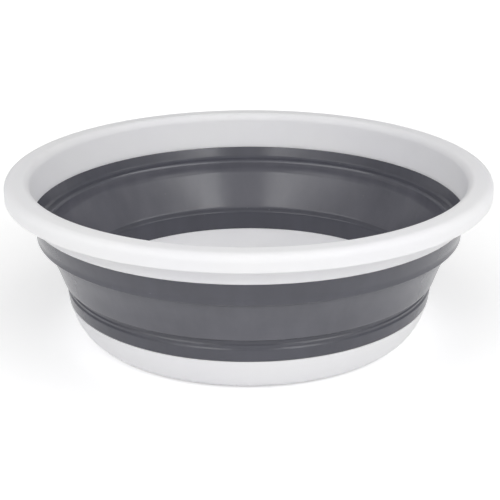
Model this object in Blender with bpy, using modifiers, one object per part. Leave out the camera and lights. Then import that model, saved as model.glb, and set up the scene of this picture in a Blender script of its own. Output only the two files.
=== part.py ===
"""A collapsible bowl: a stiff white rim and a stiff white base, joined by a soft grey wall that folds down.

The bowl is round about the Z axis and stands on the plane z = 0. The soft wall has an upper band that stays
with the rim, a lower band that stays with the base, and a middle band that turns inside out as the rim goes
down. The middle band is built here as nested fold bands, each a step narrower than the one above it, so that
each can slide straight down past the next. Units are metres.
"""

import math

import bpy
from mathutils import Vector

# Turned pieces
SEGMENTS = 64
SMALL_BEND_STEPS = 2
LARGE_BEND_STEPS = 5
LARGE_BEND = 0.004
BEND_LIMIT_SHARE = 0.45
WELD_DISTANCE = 0.00001

# Clearance between pieces that meet
SEAT_GAP = 0.0003

# Base: a shallow dish with a rounded side, standing on a foot ring
FOOT_RADIUS = 0.121
FOOT_RING_WIDTH = 0.009
BASE_SPREAD = 0.0236
BASE_KNEE_INSET = 0.0078
BASE_HEIGHT = 0.0279
BASE_FLOOR_THICKNESS = 0.0025
BASE_WALL = 0.0026
UNDERSIDE_RECESS = 0.0015

# Lap joint between stiff plastic and soft wall
LAP_HEIGHT = 0.0019
BASE_EDGE_THICKNESS = 0.0037

# Lower band of the soft wall, with a bead at its top and a thin hinge line above the bead
LOWER_BAND_HEIGHT = 0.0117
BEAD_SIZE = 0.0009
HINGE_RECESS = 0.0016
HINGE_THICKNESS = 0.0014
HINGE_HEIGHT = 0.0067
HINGE_LIP = 0.0012

# Fold bands of the soft wall
FOLD_BANDS = 5
FOLD_WALL = 0.0020
FOLD_CLEARANCE = 0.0011
FOLD_SPREAD = 0.0156
FOLD_HEIGHT = 0.0382
FOLD_LAP = 0.0012
FOLD_LEDGE = 0.0011
FOLD_LEDGE_THICKNESS = 0.0016

# Upper band of the soft wall
UPPER_WALL = 0.0020
UPPER_OVERHANG = 0.0045
UPPER_BAND_HEIGHT = 0.0175
UPPER_SPREAD = 0.0046
UPPER_EDGE_BEND = 0.0009

# Rim: an inner collar, a broad rolled top and a skirt
COLLAR_HEIGHT = 0.0285
COLLAR_SPREAD = 0.0033
COLLAR_WALL = 0.0020
RIM_TOP_WIDTH = 0.0165
RIM_TOP_THICKNESS = 0.0024
RIM_SKIRT_HEIGHT = 0.0130
RIM_SKIRT_WALL = 0.0022
RIM_OUTER_BEND = 0.0080
RIM_INNER_BEND = 0.0030
RIM_UNDER_BEND = 0.0045
RIM_EDGE_BEND = 0.0008

# Heights, worked out from the floor up
HINGE_FOOT_Z = BASE_HEIGHT + LOWER_BAND_HEIGHT
FOLD_BOTTOM_Z = HINGE_FOOT_Z + HINGE_HEIGHT
FOLD_TOP_Z = FOLD_BOTTOM_Z + FOLD_HEIGHT
UPPER_BOTTOM_Z = FOLD_TOP_Z - UPPER_OVERHANG
COLLAR_BOTTOM_Z = UPPER_BOTTOM_Z + UPPER_BAND_HEIGHT
FLOOR_Z = UNDERSIDE_RECESS + BASE_FLOOR_THICKNESS

# Radii, worked out from the foot outwards
BASE_RADIUS = FOOT_RADIUS + BASE_SPREAD
BASE_INNER_RADIUS = BASE_RADIUS - BASE_EDGE_THICKNESS
BEAD_RADIUS = BASE_RADIUS + BEAD_SIZE
HINGE_RADIUS = BEAD_RADIUS - HINGE_RECESS
FOLD_BOTTOM_RADIUS = BEAD_RADIUS + FOLD_CLEARANCE + FOLD_WALL
FOLD_TOP_RADIUS = FOLD_BOTTOM_RADIUS + FOLD_SPREAD
UPPER_BOTTOM_RADIUS = FOLD_TOP_RADIUS + FOLD_LEDGE + SEAT_GAP
COLLAR_BOTTOM_RADIUS = UPPER_BOTTOM_RADIUS + UPPER_SPREAD
COLLAR_TOP_RADIUS = COLLAR_BOTTOM_RADIUS + COLLAR_SPREAD
RIM_RADIUS = COLLAR_TOP_RADIUS + RIM_TOP_WIDTH

# Steps from one fold band to the next
FOLD_BAND_DROP = (FOLD_HEIGHT - FOLD_LAP) / FOLD_BANDS
FOLD_BAND_STEP = (FOLD_SPREAD + FOLD_WALL + SEAT_GAP) / FOLD_BANDS

# Colours, linear
WHITE_PLASTIC = (0.83, 0.83, 0.85, 1.0)
GREY_RUBBER = (0.145, 0.143, 0.158, 1.0)
PLASTIC_ROUGHNESS = 0.38
RUBBER_ROUGHNESS = 0.5


def clear_scene():
    """Removes every object of the open scene."""
    for obj in list(bpy.data.objects):
        bpy.data.objects.remove(obj, do_unlink=True)


def make_collection(name):
    """A collection linked to the scene."""
    collection = bpy.data.collections.new(name)
    bpy.context.scene.collection.children.link(collection)
    return collection


def make_material(name, colour, roughness):
    """A plain Principled material."""
    material = bpy.data.materials.new(name)
    material.use_nodes = True
    material.diffuse_color = colour
    shader = material.node_tree.nodes["Principled BSDF"]
    shader.inputs["Base Color"].default_value = colour
    shader.inputs["Roughness"].default_value = roughness
    shader.inputs["Metallic"].default_value = 0.0
    return material


def bend(start, corner, end, steps):
    """Points of a smooth bend that leaves start towards corner and arrives at end."""
    shares = [step / steps for step in range(steps + 1)]
    return [start.lerp(corner, share).lerp(corner.lerp(end, share), share) for share in shares]


def rounded(corners):
    """The points of a closed outline whose corners are (radius, height, length of bend)."""
    points = []
    for index, (radius, height, length) in enumerate(corners):
        here = Vector((radius, height))
        if length == 0:
            points.append(here)
            continue
        to_last = Vector(corners[index - 1][:2]) - here
        to_next = Vector(corners[(index + 1) % len(corners)][:2]) - here
        reach = min(length, BEND_LIMIT_SHARE * to_last.length, BEND_LIMIT_SHARE * to_next.length)
        steps = LARGE_BEND_STEPS if reach > LARGE_BEND else SMALL_BEND_STEPS
        start = here + to_last.normalized() * reach
        end = here + to_next.normalized() * reach
        points += bend(start, here, end, steps)
    return points


def turned_piece(name, points, seat_z, closed, colour, roughness, collection, parent=None):
    """A piece turned about Z from an outline in (radius, height), seated at the height seat_z."""
    last = len(points) - 1
    edges = [(index, index + 1) for index in range(last)]
    if closed:
        edges.append((last, 0))
    mesh = bpy.data.meshes.new(name)
    mesh.from_pydata([(point.x, 0, point.y - seat_z) for point in points], edges, [])
    mesh.materials.append(make_material(name + "_material", colour, roughness))
    obj = bpy.data.objects.new(name, mesh)
    collection.objects.link(obj)
    screw = obj.modifiers.new("turn", "SCREW")
    screw.axis = "Z"
    screw.angle = math.tau
    screw.steps = SEGMENTS
    screw.render_steps = SEGMENTS
    screw.use_merge_vertices = True
    screw.merge_threshold = WELD_DISTANCE
    screw.use_smooth_shade = True
    obj.location = (0, 0, seat_z)
    if parent:
        obj.parent = parent
        obj.location.z = seat_z - parent.location.z
    return obj


def slide_guide(name, height, collection):
    """An empty on the bowl's axis, which carries a moving piece."""
    guide = bpy.data.objects.new(name, None)
    guide.empty_display_type = "SINGLE_ARROW"
    guide.empty_display_size = FOLD_HEIGHT
    guide.location = (0, 0, height)
    collection.objects.link(guide)
    return guide


def base_outline():
    """The base from the middle of its inside, up the dish, over its edge and down to the foot."""
    knee_radius = BASE_RADIUS - BASE_KNEE_INSET
    lap_radius = BASE_INNER_RADIUS + (BASE_EDGE_THICKNESS + SEAT_GAP) / 2
    shoulder_z = BASE_HEIGHT - LAP_HEIGHT
    ring_radius = FOOT_RADIUS - FOOT_RING_WIDTH
    inside = bend(
        Vector((FOOT_RADIUS - BASE_WALL, FLOOR_Z)),
        Vector((knee_radius - BASE_WALL, FLOOR_Z)),
        Vector((BASE_INNER_RADIUS, shoulder_z)),
        LARGE_BEND_STEPS,
    )
    outside = bend(
        Vector((BASE_RADIUS, BASE_HEIGHT)),
        Vector((knee_radius, 0)),
        Vector((FOOT_RADIUS, 0)),
        LARGE_BEND_STEPS,
    )
    points = [Vector((0, FLOOR_Z))] + inside
    points.append(Vector((lap_radius, shoulder_z)))
    points.append(Vector((lap_radius, BASE_HEIGHT)))
    points += outside
    points.append(Vector((ring_radius, 0)))
    points.append(Vector((ring_radius - UNDERSIDE_RECESS, UNDERSIDE_RECESS)))
    points.append(Vector((0, UNDERSIDE_RECESS)))
    return points


def lower_band_outline():
    """The lower band from its hinge lip down to the lap joint on the base."""
    lip_radius = FOLD_BOTTOM_RADIUS - FOLD_WALL - SEAT_GAP
    lap_radius = BASE_INNER_RADIUS + (BASE_EDGE_THICKNESS - SEAT_GAP) / 2
    inner_radius = HINGE_RADIUS - HINGE_THICKNESS
    lip_top_z = FOLD_BOTTOM_Z + HINGE_LIP
    return rounded(
        [
            (lip_radius, lip_top_z, 0),
            (lip_radius, FOLD_BOTTOM_Z, 0),
            (HINGE_RADIUS, FOLD_BOTTOM_Z, 0),
            (HINGE_RADIUS, HINGE_FOOT_Z, 0),
            (BEAD_RADIUS, HINGE_FOOT_Z, BEAD_SIZE),
            (BASE_RADIUS, BASE_HEIGHT + SEAT_GAP, 0),
            (lap_radius, BASE_HEIGHT + SEAT_GAP, 0),
            (lap_radius, BASE_HEIGHT - LAP_HEIGHT + SEAT_GAP, 0),
            (BASE_INNER_RADIUS, BASE_HEIGHT - LAP_HEIGHT + SEAT_GAP, 0),
            (inner_radius, HINGE_FOOT_Z, 0),
            (inner_radius, lip_top_z, 0),
        ]
    )


def fold_band_outline(index):
    """One fold band, counted from the top; the first has a ledge that reaches the upper band."""
    top_radius = FOLD_TOP_RADIUS - index * FOLD_BAND_STEP
    bottom_radius = top_radius - (FOLD_BAND_STEP - FOLD_WALL - SEAT_GAP)
    top_z = FOLD_TOP_Z - index * FOLD_BAND_DROP
    bottom_z = top_z - FOLD_BAND_DROP - FOLD_LAP
    outline = [
        (top_radius, top_z, 0),
        (bottom_radius, bottom_z, 0),
        (bottom_radius - FOLD_WALL, bottom_z, 0),
        (top_radius - FOLD_WALL, top_z, 0),
    ]
    if index == 0:
        ledge_radius = top_radius + FOLD_LEDGE
        ledge_z = top_z - FOLD_LEDGE_THICKNESS
        outline[:1] = [(ledge_radius, top_z, 0), (ledge_radius, ledge_z, 0), (top_radius, ledge_z, 0)]
    return rounded(outline)


def upper_band_outline():
    """The upper band from the lap joint under the collar down to its rounded lower edge."""
    top_inner = COLLAR_BOTTOM_RADIUS
    top_outer = top_inner + COLLAR_WALL
    lap_radius = top_inner + (COLLAR_WALL + SEAT_GAP) / 2
    lap_foot_z = COLLAR_BOTTOM_Z - LAP_HEIGHT - SEAT_GAP
    return rounded(
        [
            (top_outer, COLLAR_BOTTOM_Z - SEAT_GAP, 0),
            (UPPER_BOTTOM_RADIUS + UPPER_WALL, UPPER_BOTTOM_Z, UPPER_EDGE_BEND),
            (UPPER_BOTTOM_RADIUS, UPPER_BOTTOM_Z, UPPER_EDGE_BEND),
            (UPPER_BOTTOM_RADIUS, FOLD_TOP_Z, 0),
            (top_inner, lap_foot_z, 0),
            (lap_radius, lap_foot_z, 0),
            (lap_radius, COLLAR_BOTTOM_Z - SEAT_GAP, 0),
        ]
    )


def rim_outline():
    """The rim from its rolled top down the skirt, back under the roll and up the collar."""
    top_z = COLLAR_BOTTOM_Z + COLLAR_HEIGHT
    under_z = top_z - RIM_TOP_THICKNESS
    skirt_z = top_z - RIM_SKIRT_HEIGHT
    lap_radius = COLLAR_BOTTOM_RADIUS + (COLLAR_WALL - SEAT_GAP) / 2
    collar_foot_z = COLLAR_BOTTOM_Z - LAP_HEIGHT
    return rounded(
        [
            (RIM_RADIUS, top_z, RIM_OUTER_BEND),
            (RIM_RADIUS, skirt_z, RIM_EDGE_BEND),
            (RIM_RADIUS - RIM_SKIRT_WALL, skirt_z, RIM_EDGE_BEND),
            (RIM_RADIUS - RIM_SKIRT_WALL, under_z, RIM_UNDER_BEND),
            (COLLAR_TOP_RADIUS + COLLAR_WALL, under_z, RIM_INNER_BEND),
            (COLLAR_BOTTOM_RADIUS + COLLAR_WALL, COLLAR_BOTTOM_Z, 0),
            (lap_radius, COLLAR_BOTTOM_Z, 0),
            (lap_radius, collar_foot_z, 0),
            (COLLAR_BOTTOM_RADIUS, collar_foot_z, 0),
            (COLLAR_TOP_RADIUS, top_z, RIM_INNER_BEND),
        ]
    )


def build_bowl():
    """Makes every piece of the bowl in its own collection."""
    bowl = make_collection("collapsible_bowl")
    plastic = (WHITE_PLASTIC, PLASTIC_ROUGHNESS)
    rubber = (GREY_RUBBER, RUBBER_ROUGHNESS)

    turned_piece("base", base_outline(), 0, False, *plastic, bowl)
    turned_piece("lower_wall", lower_band_outline(), BASE_HEIGHT, True, *rubber, bowl)

    for index in range(FOLD_BANDS):
        name = f"fold_band_{index + 1}"
        top_z = FOLD_TOP_Z - index * FOLD_BAND_DROP
        guide = slide_guide(name + "_guide", top_z, bowl)
        turned_piece(name, fold_band_outline(index), top_z, True, *rubber, bowl, guide)

    rim_guide = slide_guide("rim_guide", COLLAR_BOTTOM_Z, bowl)
    turned_piece("upper_wall", upper_band_outline(), UPPER_BOTTOM_Z, True, *rubber, bowl, rim_guide)
    turned_piece("rim", rim_outline(), COLLAR_BOTTOM_Z, True, *plastic, bowl, rim_guide)


clear_scene()
build_bowl()
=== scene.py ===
# Round folding bowl: a stiff white rim and base joined by a soft grey wall
import math

import bmesh
import bpy
from mathutils import Matrix, Vector


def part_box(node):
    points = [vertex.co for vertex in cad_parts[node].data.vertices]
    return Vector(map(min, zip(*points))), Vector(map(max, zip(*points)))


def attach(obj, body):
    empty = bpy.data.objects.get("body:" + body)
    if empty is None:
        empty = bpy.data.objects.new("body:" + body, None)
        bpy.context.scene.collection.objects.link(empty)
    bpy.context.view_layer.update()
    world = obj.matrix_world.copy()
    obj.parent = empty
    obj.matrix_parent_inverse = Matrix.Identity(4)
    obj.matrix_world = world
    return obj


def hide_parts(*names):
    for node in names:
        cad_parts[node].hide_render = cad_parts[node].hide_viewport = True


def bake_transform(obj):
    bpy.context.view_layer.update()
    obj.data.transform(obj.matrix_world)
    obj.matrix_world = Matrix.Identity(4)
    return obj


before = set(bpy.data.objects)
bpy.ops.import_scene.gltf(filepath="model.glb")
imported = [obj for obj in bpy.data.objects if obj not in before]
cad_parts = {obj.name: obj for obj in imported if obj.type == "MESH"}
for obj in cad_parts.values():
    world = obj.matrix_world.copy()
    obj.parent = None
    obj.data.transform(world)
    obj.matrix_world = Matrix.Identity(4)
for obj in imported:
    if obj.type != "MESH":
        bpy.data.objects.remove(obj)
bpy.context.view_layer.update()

RIM_RADIUS, RIM_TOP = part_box("rim")[1].x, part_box("rim")[1].z
BASE_RADIUS, BASE_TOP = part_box("base")[1].x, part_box("base")[1].z
UPPER_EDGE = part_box("upper_wall")[0].z
FOLD_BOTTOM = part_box("fold_band_5")[0].z

# Turning and bending; lengths are in metres unless a heading says otherwise
TURN_STEPS = 256
WELD = 0.000005
BEND_STEP = 0.0006
FEWEST_BEND_STEPS = 4
MOST_BEND_STEPS = 14
ROUND_PROFILE = 0.5
NO_MATERIAL = -1
SHARP_ANGLE = math.radians(38)

# Shortest straight runs that get a point near each end, and how near
HELD_RUN = 0.002
BASE_HELD_RUN = 0.02
HOLD = 0.0004

# Shortest straight run of the wall that is cut into rings, and how many cuts
LONG_RUN = 0.009
RUN_RINGS = 20

# Seams between stiff and soft plastic
SEAM_GAP = 0.00025
SEAM_BEND = 0.0003

# Rim
ROLL_THICKNESS = 0.0024
SKIRT_DROP = 0.0131
SKIRT_THICKNESS = 0.0022
SKIRT_FOOT = RIM_TOP - SKIRT_DROP
SKIRT_INNER_RADIUS = RIM_RADIUS - SKIRT_THICKNESS
SKIRT_EDGE_BEND = 0.0008
ROLL_OUTER_BEND = 0.0058
ROLL_UNDER_BEND = 0.0045
ROLL_INNER_BEND = 0.006
ROLL_INNER_UNDER_BEND = 0.0042
COLLAR_TOP_INNER_RADIUS = 0.1704
COLLAR_TOP_OUTER_RADIUS = 0.1724
COLLAR_INNER_RADIUS, COLLAR_INNER_FOOT = 0.1702, 0.095
COLLAR_OUTER_RADIUS, COLLAR_OUTER_FOOT = 0.1716, 0.0979

# Soft wall, outside, from the rim down: each corner's radius, height and bend
UPPER_NECK = (0.1672, 0.0842, 0.0018)
UPPER_LIP = (0.1673, UPPER_EDGE, 0.0013)
UPPER_LIP_INNER = (0.1649, UPPER_EDGE, 0.0005)
GAP_OUTER = (0.1648, 0.0822, 0.0006)
GAP_INNER = (0.1604, 0.0822, 0.0005)
SHOULDER_ROOT = (0.1603, 0.0789, 0.0004)
SHOULDER = (0.1622, 0.0786, 0.0014)
FOLD_MIDDLE = (0.154, 0.0617, 0.006)
FOLD_EDGE = (0.1487, FOLD_BOTTOM, 0.0006)
GROOVE_TOP = (0.1445, 0.0441, 0.0006)
GROOVE_FOOT = (0.1441, 0.0414, 0.0004)
RIDGE = (0.145, 0.0403, 0.0003)
RIDGE_FOOT = (0.1446, 0.0385, 0.0005)
LOWER_BEAD = (0.1457, 0.037, 0.0005)

# Soft wall, inside, from the base up
LOWER_SEAM_RADIUS, LOWER_SEAM_HEIGHT = 0.1401, 0.026
LOWER_SHOULDER = (0.1402, 0.0432, 0.002)
FOLD_FOOT_INNER = (0.144, 0.0446, 0.0016)
FOLD_HEAD_INNER = (0.1593, 0.0785, 0.0045)
LEDGE_NOSE = (0.1589, 0.0837, 0.0004)
LEDGE_CHAMFER = (0.1599, 0.0858, 0.0003)
LEDGE_ROOT = (0.1668, 0.0861, 0.0016)

# Where the middle band is, which is coloured lighter as painted light for the brighter
# reflections it catches
PAINTED_LIGHT_BAND_RADIUS = 0.1645
PAINTED_LIGHT_BAND_FOOT = 0.0449
PAINTED_LIGHT_BAND_TOP = 0.0842

# Base, inside, from the middle out and up
FLOOR_HEIGHT = 0.004
FLOOR_EDGE = (0.1184, FLOOR_HEIGHT, 0.004)
FLOOR_BEND = (0.1235, FLOOR_HEIGHT, 0.004)
BASE_INNER_LOW = (0.1298, 0.0068, 0.0032)
BASE_INNER_MIDDLE = (0.1358, 0.0128, 0.0042)
BASE_INNER_HIGH = (0.1392, 0.0208, 0.0026)

# Base, outside, from the seam down and in
BASE_OUTER_HIGH = (0.1429, 0.0209, 0.0056)
BASE_OUTER_MIDDLE = (0.1385, 0.0105, 0.0048)
BASE_OUTER_LOW = (0.1329, 0.0035, 0.0037)
FOOT_OUTER = (0.1268, 0, 0.0037)
FOOT_INNER = (0.112, 0, 0.0004)

# Underside, from the foot ring in to the gate mark at the middle
RECESS_HEIGHT = 0.0015
RECESS_EDGE = (0.1105, RECESS_HEIGHT, 0.0006)
GATE_EDGE = (0.004, RECESS_HEIGHT, 0.0003)
GATE_HEIGHT = 0.0019
GATE_DIMPLE = (0.0034, GATE_HEIGHT, 0.0003)

# White plastic
WHITE_DARKER = (0.9, 0.897, 0.927, 1)
WHITE_LIGHTER = (0.922, 0.919, 0.947, 1)
WHITE_ROUGHNESS = (0.5, 0.64)
WHITE_IOR = 1.49
WHITE_SCATTER = 0.001
WHITE_SCATTER_SHARE = 0.7
EVEN_SCATTER = (1.0, 1.0, 1.0)
CLOUD_SCALE = 11.0
CLOUD_DETAIL = 3.0
CLOUD_START = 0.35
CLOUD_FULL = 0.65
WAVE_SCALE = 24.0
WAVE_STRENGTH = 0.1
WAVE_DEPTH = 0.001
WHITE_GRAIN_SCALE = 420.0
WHITE_GRAIN_STRENGTH = 0.06

# Grey rubber
# The rubber's grey, and a lighter copy of it for the middle band: painted light for the brighter
# reflections that band catches
RUBBER_GREY = (0.079, 0.08, 0.098, 1)
PAINTED_LIGHT_GREY = (0.112, 0.112, 0.132, 1)
DUST_GREY = (0.22, 0.22, 0.23, 1)
RUBBER_ROUGHNESS = (0.15, 0.27)
RUBBER_IOR = 1.47
SMUDGE_SCALE = 24.0
SMUDGE_DETAIL = 4.0
SMUDGE_BREAKUP = 0.6
SMUDGE_SHADES = (0.84, 1.16)
STREAK_SCALE = 70.0
STREAK_DETAIL = 3.0
STREAK_BREAKUP = 0.55
STREAK_STRETCH = (1.0, 1.0, 0.07)
STREAK_SHADES = (0.88, 1.12)
STREAK_STRENGTH = 0.12
STREAK_DEPTH = 0.0006
DUST_SCALE = 330.0
DUST_START = 0.79
DUST_FULL = 0.84
DUST_SHARE = 0.4
RUBBER_GRAIN_SCALE = 700.0
RUBBER_GRAIN_STRENGTH = 0.07

# Noise and grain that both materials share
GRAIN_DETAIL = 2.0
GRAIN_BREAKUP = 0.6
GRAIN_DEPTH = 0.0002
EVEN_BREAKUP = 0.5
PLAIN_DETAIL = 1.0

# Floor, and the white it shows the camera near the bowl and further out
FLOOR_HALF_SIZE = 6.0
FLOOR_WHITE = (0.94, 0.94, 0.94, 1)
GLOW_START, GLOW_FULL = 0.2, 0.8
GLOW_NEAR, GLOW_FAR = 0.33, 0.7

# Light from all round
WORLD_FILL = 0.53

# Lamps: name, azimuth and elevation in degrees, distance, width, height, power in watts
LAMPS = [
    ("right_box", 57, 36, 1.2, 1.5, 0.17, 4.1),
    ("left_box", -50, 36, 1.2, 1.5, 0.17, 3.3),
    ("front_strip", 2, 34, 1.8, 1.7, 0.4, 1.7),
    ("top_scrim", 4, 72, 1.6, 2.0, 1.2, 2.2),
    ("right_low_box", 44, 16, 1.6, 1.0, 0.4, 2.1),
    ("left_low_box", -44, 16, 1.6, 1.0, 0.4, 2.0),
]

# Camera, with its lens and sensor in millimetres and its turns in degrees
SENSOR_WIDTH = 36.0
LENS_LENGTH = 91.394
PICTURE_SHIFT = 0.0022
NEAREST_SEEN = 0.05
CAMERA_PLACE = (0, -0.9554, 0.4184)
LEVEL_TILT = 90
CAMERA_DIP = 20.672
CAMERA_ROLL = -0.2


def hold_straight(shape, run):
    """Adds a point near each end of a straight run, so its shading stays flat between bends."""
    first, last = run.verts
    step = (last.co - first.co).normalized() * HOLD
    chain = [first, shape.verts.new(first.co + step), shape.verts.new(last.co - step), last]
    shape.edges.remove(run)
    for pair in zip(chain, chain[1:]):
        shape.edges.new(pair)


def turned(name, corners, closed=True, held_run=HELD_RUN, rings=0):
    """A piece turned round the bowl's axis from corners of (radius, height, bend)."""
    shape = bmesh.new()
    points = [shape.verts.new((radius, 0, height)) for radius, height, bend in corners]
    for pair in zip(points, points[1:]):
        shape.edges.new(pair)
    if closed:
        shape.edges.new((points[-1], points[0]))
    for point, (radius, height, bend) in zip(points, corners):
        if bend:
            steps = max(FEWEST_BEND_STEPS, min(MOST_BEND_STEPS, round(bend / BEND_STEP)))
            bmesh.ops.bevel(
                shape, geom=[point], offset=bend, offset_type="OFFSET", segments=steps,
                profile=ROUND_PROFILE, affect="VERTICES", material=NO_MATERIAL,
            )
    for run in [edge for edge in shape.edges if edge.calc_length() > held_run]:
        hold_straight(shape, run)
    if rings:
        runs = [edge for edge in shape.edges if edge.calc_length() > LONG_RUN]
        bmesh.ops.subdivide_edges(shape, edges=runs, cuts=rings)
    bmesh.ops.spin(
        shape, geom=shape.verts[:] + shape.edges[:], cent=(0, 0, 0), axis=(0, 0, 1),
        dvec=(0, 0, 0), angle=math.tau, steps=TURN_STEPS, use_merge=True,
    )
    bmesh.ops.remove_doubles(shape, verts=shape.verts[:], dist=WELD)
    bmesh.ops.recalc_face_normals(shape, faces=shape.faces[:])
    mesh = bpy.data.meshes.new(name)
    shape.to_mesh(mesh)
    shape.free()
    mesh.shade_smooth()
    mesh.set_sharp_from_angle(angle=SHARP_ANGLE)
    piece = bpy.data.objects.new(name, mesh)
    bpy.context.scene.collection.objects.link(piece)
    return piece


def rolled_rim():
    """The stiff white rim: a broad roll with a skirt outside and a collar inside."""
    return turned("rolled_rim", [
        (RIM_RADIUS, RIM_TOP, ROLL_OUTER_BEND),
        (RIM_RADIUS, SKIRT_FOOT, SKIRT_EDGE_BEND),
        (SKIRT_INNER_RADIUS, SKIRT_FOOT, SKIRT_EDGE_BEND),
        (SKIRT_INNER_RADIUS, RIM_TOP - ROLL_THICKNESS, ROLL_UNDER_BEND),
        (COLLAR_TOP_OUTER_RADIUS, RIM_TOP - ROLL_THICKNESS, ROLL_INNER_UNDER_BEND),
        (COLLAR_OUTER_RADIUS, COLLAR_OUTER_FOOT + SEAM_GAP, SEAM_BEND),
        (COLLAR_INNER_RADIUS, COLLAR_INNER_FOOT, SEAM_BEND),
        (COLLAR_TOP_INNER_RADIUS, RIM_TOP, ROLL_INNER_BEND),
    ])


def soft_wall():
    """The grey wall, one moulding: upper band, middle band that turns inside out, lower band."""
    wall = turned("soft_wall", [
        (COLLAR_OUTER_RADIUS, COLLAR_OUTER_FOOT, SEAM_BEND),
        UPPER_NECK,
        UPPER_LIP,
        UPPER_LIP_INNER,
        GAP_OUTER,
        GAP_INNER,
        SHOULDER_ROOT,
        SHOULDER,
        FOLD_MIDDLE,
        FOLD_EDGE,
        GROOVE_TOP,
        GROOVE_FOOT,
        RIDGE,
        RIDGE_FOOT,
        LOWER_BEAD,
        (BASE_RADIUS, BASE_TOP + SEAM_GAP, SEAM_BEND),
        (LOWER_SEAM_RADIUS, LOWER_SEAM_HEIGHT + SEAM_GAP, SEAM_BEND),
        LOWER_SHOULDER,
        FOLD_FOOT_INNER,
        FOLD_HEAD_INNER,
        LEDGE_NOSE,
        LEDGE_CHAMFER,
        LEDGE_ROOT,
        (COLLAR_INNER_RADIUS, COLLAR_INNER_FOOT - SEAM_GAP, SEAM_BEND),
    ], rings=RUN_RINGS)
    # Marks the middle band, whose lighter grey is painted light
    painted_light_mask = wall.data.attributes.new("thin_band", "FLOAT", "POINT")
    for corner in wall.data.vertices:
        radius = corner.co.xy.length
        in_painted_light_band = PAINTED_LIGHT_BAND_FOOT < corner.co.z < PAINTED_LIGHT_BAND_TOP
        painted_light_mask.data[corner.index].value = float(radius < PAINTED_LIGHT_BAND_RADIUS and in_painted_light_band)
    return wall


def dish_base():
    """The stiff white base: a shallow dish with a rounded side and a recessed underside."""
    return turned("dish_base", [
        (0, FLOOR_HEIGHT, 0),
        FLOOR_EDGE,
        FLOOR_BEND,
        BASE_INNER_LOW,
        BASE_INNER_MIDDLE,
        BASE_INNER_HIGH,
        (LOWER_SEAM_RADIUS, LOWER_SEAM_HEIGHT, SEAM_BEND),
        (BASE_RADIUS, BASE_TOP, SEAM_BEND),
        BASE_OUTER_HIGH,
        BASE_OUTER_MIDDLE,
        BASE_OUTER_LOW,
        FOOT_OUTER,
        FOOT_INNER,
        RECESS_EDGE,
        GATE_EDGE,
        GATE_DIMPLE,
        (0, GATE_HEIGHT, 0),
    ], closed=False, held_run=BASE_HELD_RUN)


def node_adder(tree):
    """A function that adds a node to a material and links or sets the inputs it is given."""
    def add(kind, settings=None, **inputs):
        node = tree.nodes.new(kind)
        for key, value in (settings or {}).items():
            setattr(node, key, value)
        for socket, value in inputs.items():
            target = node.inputs[socket.replace("_", " ")]
            if isinstance(value, bpy.types.NodeSocket):
                tree.links.new(value, target)
            else:
                target.default_value = value
        return node
    return add


def new_material(name):
    """A material with its Principled shader, and a function that adds nodes to it."""
    material = bpy.data.materials.new(name)
    material.use_nodes = True
    tree = material.node_tree
    return material, tree.nodes["Principled BSDF"], tree.links.new, node_adder(tree)


def ramp(add, factor, low, low_colour, high, high_colour):
    """Colours that run from one to the other between two values of a factor."""
    node = add("ShaderNodeValToRGB", Fac=factor)
    first, last = node.color_ramp.elements
    first.position, first.color = low, low_colour
    last.position, last.color = high, high_colour
    return node.outputs["Color"]


def spread(add, factor, low, high):
    """A factor of 0 to 1 moved to another range of numbers."""
    node = add("ShaderNodeMapRange", Value=factor, To_Min=low, To_Max=high)
    return node.outputs["Result"]


def multiplied(add, colour, factor):
    """A colour made lighter or darker by a factor."""
    node = add(
        "ShaderNodeMixRGB", {"blend_type": "MULTIPLY"}, Fac=1.0, Color1=colour, Color2=factor,
    )
    return node.outputs["Color"]


def noise(add, place, scale, detail, breakup=EVEN_BREAKUP):
    """A cloudy factor of 0 to 1."""
    node = add("ShaderNodeTexNoise", Vector=place, Scale=scale, Detail=detail, Roughness=breakup)
    return node.outputs["Fac"]


def raised(add, height, strength, depth, **normal):
    """The surface's normal, tilted as if a factor raised it."""
    node = add("ShaderNodeBump", Height=height, Strength=strength, Distance=depth, **normal)
    return node.outputs["Normal"]


def paired(add, link, operation, first, second):
    """Two factors joined by a sum, a product or the like."""
    node = add("ShaderNodeMath", {"operation": operation})
    link(first, node.inputs[0])
    link(second, node.inputs[1])
    return node.outputs["Value"]


def white_plastic(name):
    """Satin white moulded plastic with faint clouds, broad waves and a fine grained skin."""
    material, shader, link, add = new_material(name)
    place = add("ShaderNodeTexCoord").outputs["Object"]
    cloud = noise(add, place, CLOUD_SCALE, CLOUD_DETAIL)
    colour = ramp(add, cloud, CLOUD_START, WHITE_DARKER, CLOUD_FULL, WHITE_LIGHTER)
    link(colour, shader.inputs["Base Color"])
    grain = noise(add, place, WHITE_GRAIN_SCALE, GRAIN_DETAIL, GRAIN_BREAKUP)
    link(spread(add, grain, *WHITE_ROUGHNESS), shader.inputs["Roughness"])
    wave = noise(add, place, WAVE_SCALE, PLAIN_DETAIL)
    broad = raised(add, wave, WAVE_STRENGTH, WAVE_DEPTH)
    skin = raised(add, grain, WHITE_GRAIN_STRENGTH, GRAIN_DEPTH, Normal=broad)
    link(skin, shader.inputs["Normal"])
    shader.inputs["IOR"].default_value = WHITE_IOR
    shader.inputs["Subsurface Weight"].default_value = WHITE_SCATTER_SHARE
    shader.inputs["Subsurface Radius"].default_value = EVEN_SCATTER
    shader.inputs["Subsurface Scale"].default_value = WHITE_SCATTER
    return material


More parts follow.
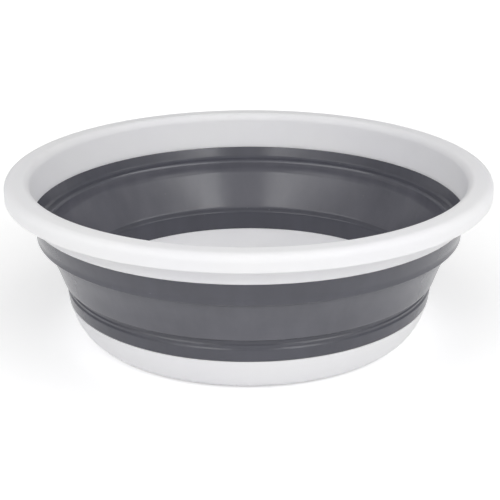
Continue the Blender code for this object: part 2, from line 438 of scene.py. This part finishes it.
def grey_rubber(name):
    """Satin grey rubber with streaks, smudges and dust specks; its middle band is painted
    lighter, a painted reflection of the light it catches.
    """
    material, shader, link, add = new_material(name)
    place = add("ShaderNodeTexCoord").outputs["Object"]
    # The middle band gets a lighter grey: painted light for the brighter reflections it catches
    painted_light_mask = add("ShaderNodeAttribute", {"attribute_name": "thin_band"}).outputs["Fac"]
    painted_light_tone = ramp(add, painted_light_mask, 0.0, RUBBER_GREY, 1.0, PAINTED_LIGHT_GREY)
    smudge = noise(add, place, SMUDGE_SCALE, SMUDGE_DETAIL, SMUDGE_BREAKUP)
    upright = add("ShaderNodeMapping", Vector=place, Scale=STREAK_STRETCH).outputs["Vector"]
    streak = noise(add, upright, STREAK_SCALE, STREAK_DETAIL, STREAK_BREAKUP)
    smudged = multiplied(add, painted_light_tone, spread(add, smudge, *SMUDGE_SHADES))
    streaked = multiplied(add, smudged, spread(add, streak, *STREAK_SHADES))
    speck = noise(add, place, DUST_SCALE, PLAIN_DETAIL)
    dust = add(
        "ShaderNodeMapRange", Value=speck, From_Min=DUST_START, From_Max=DUST_FULL,
        To_Max=DUST_SHARE,
    )
    dusty = add(
        "ShaderNodeMixRGB", Fac=dust.outputs["Result"], Color1=streaked, Color2=DUST_GREY,
    )
    link(dusty.outputs["Color"], shader.inputs["Base Color"])
    link(spread(add, smudge, *RUBBER_ROUGHNESS), shader.inputs["Roughness"])
    grain = noise(add, place, RUBBER_GRAIN_SCALE, GRAIN_DETAIL, GRAIN_BREAKUP)
    flow = raised(add, streak, STREAK_STRENGTH, STREAK_DEPTH)
    skin = raised(add, grain, RUBBER_GRAIN_STRENGTH, GRAIN_DEPTH, Normal=flow)
    link(skin, shader.inputs["Normal"])
    shader.inputs["IOR"].default_value = RUBBER_IOR
    return material


def studio_floor():
    """A white floor that keeps the bowl's soft shadow and is seen as plain white further out."""
    shape = bmesh.new()
    bmesh.ops.create_grid(shape, x_segments=1, y_segments=1, size=FLOOR_HALF_SIZE)
    mesh = bpy.data.meshes.new("studio_floor")
    shape.to_mesh(mesh)
    shape.free()
    floor = bpy.data.objects.new("studio_floor", mesh)
    bpy.context.scene.collection.objects.link(floor)
    material = bpy.data.materials.new("white_floor")
    material.use_nodes = True
    tree = material.node_tree
    tree.nodes.clear()
    add = node_adder(tree)
    link = tree.links.new
    path = add("ShaderNodeLightPath").outputs
    seen = paired(add, link, "MAXIMUM", path["Is Camera Ray"], path["Is Glossy Ray"])
    shown = paired(add, link, "MAXIMUM", seen, path["Is Transmission Ray"])
    place = add("ShaderNodeTexCoord").outputs["Object"]
    length = add("ShaderNodeVectorMath", {"operation": "LENGTH"})
    link(place, length.inputs[0])
    glow = add(
        "ShaderNodeMapRange", Value=length.outputs["Value"], From_Min=GLOW_START,
        From_Max=GLOW_FULL, To_Min=GLOW_NEAR, To_Max=GLOW_FAR,
    ).outputs["Result"]
    strength = paired(add, link, "MULTIPLY", shown, glow)
    light = add("ShaderNodeEmission", Strength=strength)
    diffuse = add("ShaderNodeBsdfDiffuse", Color=FLOOR_WHITE)
    both = add("ShaderNodeAddShader")
    link(diffuse.outputs["BSDF"], both.inputs[0])
    link(light.outputs["Emission"], both.inputs[1])
    add("ShaderNodeOutputMaterial", Surface=both.outputs["Shader"])
    mesh.materials.append(material)


def soft_box(name, azimuth, elevation, distance, width, height, power):
    """A studio lamp that faces the bowl; azimuth 0 is in front and 90 on the right."""
    turn, lift = math.radians(azimuth), math.radians(elevation)
    way = Vector((
        math.sin(turn) * math.cos(lift), -math.cos(turn) * math.cos(lift), math.sin(lift),
    ))
    lamp = bpy.data.lights.new(name, "AREA")
    lamp.shape = "RECTANGLE"
    lamp.size = width
    lamp.size_y = height
    lamp.energy = power
    box = bpy.data.objects.new(name, lamp)
    box.location = Vector((0, 0, RIM_TOP / 2)) + way * distance
    box.rotation_euler = way.to_track_quat("Z", "Y").to_euler()
    bpy.context.scene.collection.objects.link(box)


def studio_world(fill):
    """Even, faint light from all round, which the camera sees as a pale backdrop."""
    world = bpy.data.worlds.new("studio_world")
    bpy.context.scene.world = world
    world.use_nodes = True
    tree = world.node_tree
    tree.nodes.clear()
    add = node_adder(tree)
    seen = add("ShaderNodeLightPath").outputs["Is Camera Ray"]
    sky = add("ShaderNodeBackground", Strength=spread(add, seen, fill, 1.0))
    add("ShaderNodeOutputWorld", Surface=sky.outputs["Background"])


def place_camera():
    """The photograph's view: in front, 21 degrees above the horizon, about a metre away."""
    lens = bpy.data.cameras.new("camera")
    lens.sensor_width = SENSOR_WIDTH
    lens.lens = LENS_LENGTH
    lens.shift_x = PICTURE_SHIFT
    lens.clip_start = NEAREST_SEEN
    camera = bpy.data.objects.new("camera", lens)
    camera.location = CAMERA_PLACE
    tilt = Matrix.Rotation(math.radians(LEVEL_TILT - CAMERA_DIP), 3, "X")
    roll = Matrix.Rotation(math.radians(CAMERA_ROLL), 3, "Z")
    camera.rotation_euler = (tilt @ roll).to_euler()
    bpy.context.scene.collection.objects.link(camera)
    bpy.context.scene.camera = camera


bpy.context.scene.view_settings.view_transform = "Standard"
place_camera()
studio_floor()
studio_world(WORLD_FILL)
for lamp in LAMPS:
    soft_box(*lamp)

plastic_white = white_plastic("satin_white_plastic")
rubber_grey = grey_rubber("satin_grey_rubber")

rim = rolled_rim()
rim.data.materials.append(plastic_white)
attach(rim, "bowl_rim")
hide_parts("rim")

wall = soft_wall()
wall.data.materials.append(rubber_grey)
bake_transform(wall)
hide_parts("upper_wall", "lower_wall", *[f"fold_band_{n}" for n in range(1, 6)])

base = dish_base()
base.data.materials.append(plastic_white)
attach(base, "bowl_base")
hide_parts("base")
